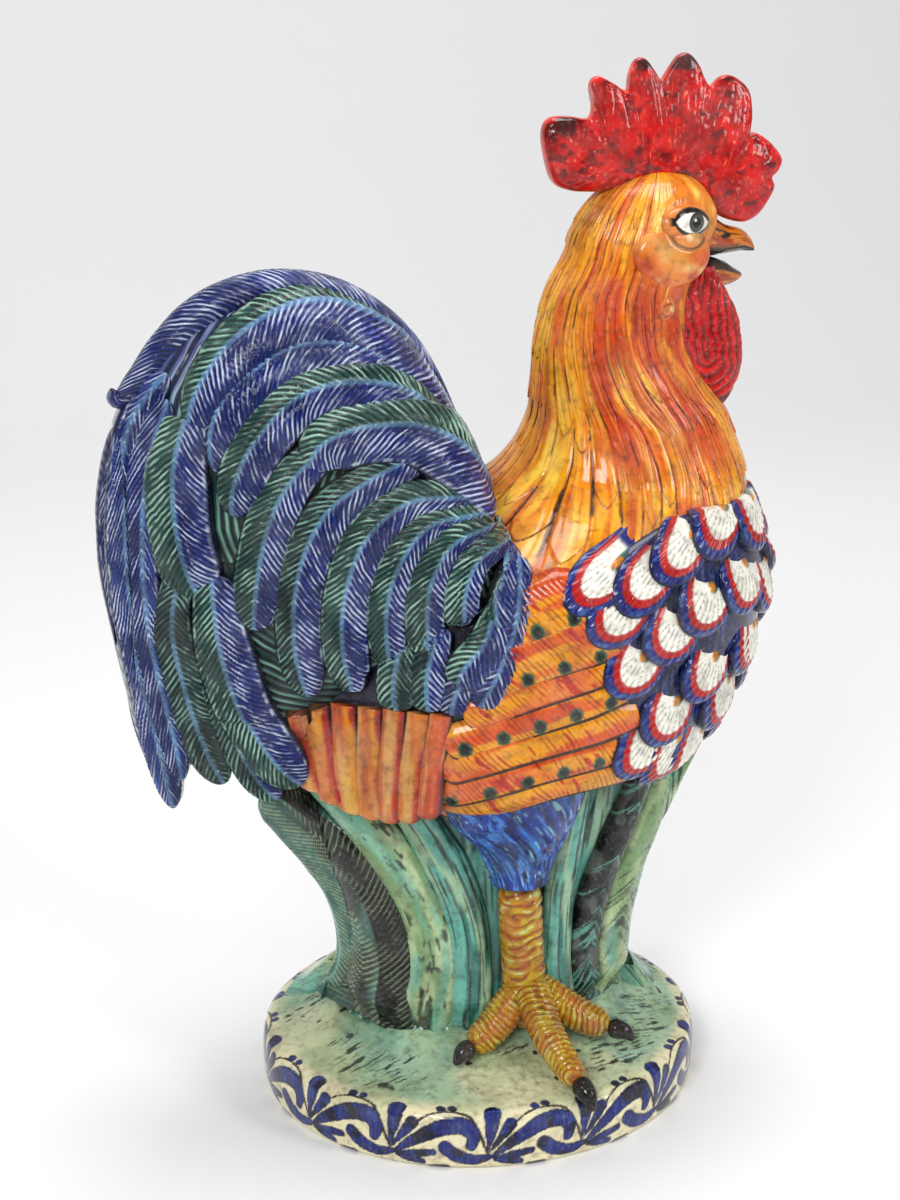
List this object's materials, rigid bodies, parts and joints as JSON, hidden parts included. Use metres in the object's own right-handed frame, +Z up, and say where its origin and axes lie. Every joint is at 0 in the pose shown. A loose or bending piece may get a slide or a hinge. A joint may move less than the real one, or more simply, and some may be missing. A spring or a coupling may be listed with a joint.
{
  "type": "glazed ceramic rooster figure",
  "caption": "Standing rooster in painted glazed clay on an oval grassy base, with a sickle tail, saw-edged comb and a clump of fronds under the body.",
  "frame": {"origin": "centre of the underside of the oval base", "axes": "+Z up, +X the way the rooster faces, -Y its right side; the base stands on z = 0"},
  "size_m": [0.3633, 0.2348, 0.567],
  "materials": {
    "cream_blue_base_glaze": "gloss",
    "grass_teal_glaze": "gloss",
    "bare_clay_floor": "matte",
    "black_green_glaze": "gloss",
    "pale_green_glaze": "gloss",
    "thigh_blue_glaze": "gloss",
    "leg_ochre_glaze": "gloss",
    "claw_black_glaze": "gloss",
    "body_yellow_glaze": "gloss",
    "saddle_peach_glaze": "gloss",
    "wing_orange_glaze": "gloss",
    "cobalt_glaze": "gloss",
    "cream_scale_glaze": "gloss",
    "hackle_orange_glaze": "gloss",
    "comb_red_glaze": "gloss",
    "eye_white_glaze": "gloss",
    "tail_blue_green_glaze": "gloss"
  },
  "bodies": {
    "root": {"base_shell": "cream_blue_base_glaze", "base_floor": "bare_clay_floor", "grass_mound_rear": "grass_teal_glaze", "grass_mound_front": "grass_teal_glaze", "support_trunk": "grass_teal_glaze", "body_shell": "body_yellow_glaze", "neck_shell": "hackle_orange_glaze", "head": "hackle_orange_glaze", "beak_upper": "leg_ochre_glaze", "beak_lower": "leg_ochre_glaze", "comb": "comb_red_glaze", "tail_core": "tail_blue_green_glaze", "tail_crest_feather": "cobalt_glaze", "frond_rear_dark_right": "black_green_glaze", "frond_rear_dark_left": "black_green_glaze", "frond_rear_pale_right": "pale_green_glaze", "frond_rear_pale_left": "pale_green_glaze", "frond_rear_teal_right": "grass_teal_glaze", "frond_rear_teal_left": "grass_teal_glaze", "frond_front_teal_right": "grass_teal_glaze", "frond_front_teal_left": "grass_teal_glaze", "frond_front_black_right": "black_green_glaze", "frond_front_black_left": "black_green_glaze", "frond_front_pale_right": "pale_green_glaze", "frond_front_pale_left": "pale_green_glaze", "thigh_right": "thigh_blue_glaze", "thigh_left": "thigh_blue_glaze", "shank_right": "leg_ochre_glaze", "shank_left": "leg_ochre_glaze", "toes_right": "leg_ochre_glaze", "toes_left": "leg_ochre_glaze", "claws_right": "claw_black_glaze", "claws_left": "claw_black_glaze", "saddle_feathers_right": "saddle_peach_glaze", "saddle_feathers_left": "saddle_peach_glaze", "wing_feathers_right": "wing_orange_glaze", "wing_feathers_left": "wing_orange_glaze", "shoulder_plate_right": "cobalt_glaze", "shoulder_plate_left": "cobalt_glaze", "shoulder_scales_right": "cream_scale_glaze", "shoulder_scales_left": "cream_scale_glaze", "cheek_right": "hackle_orange_glaze", "cheek_left": "hackle_orange_glaze", "ear_lobe_right": "hackle_orange_glaze", "ear_lobe_left": "hackle_orange_glaze", "eye_right": "eye_white_glaze", "eye_left": "eye_white_glaze", "wattle_right": "comb_red_glaze", "wattle_left": "comb_red_glaze", "tail_upper_sickles_right": "tail_blue_green_glaze", "tail_upper_sickles_left": "tail_blue_green_glaze", "tail_coverts_right": "tail_blue_green_glaze", "tail_coverts_left": "tail_blue_green_glaze", "tail_hanging_sickles_right": "tail_blue_green_glaze", "tail_hanging_sickles_left": "tail_blue_green_glaze", "tail_outer_streamer_right": "cobalt_glaze", "tail_outer_streamer_left": "cobalt_glaze"}
  },
  "joints": []
}
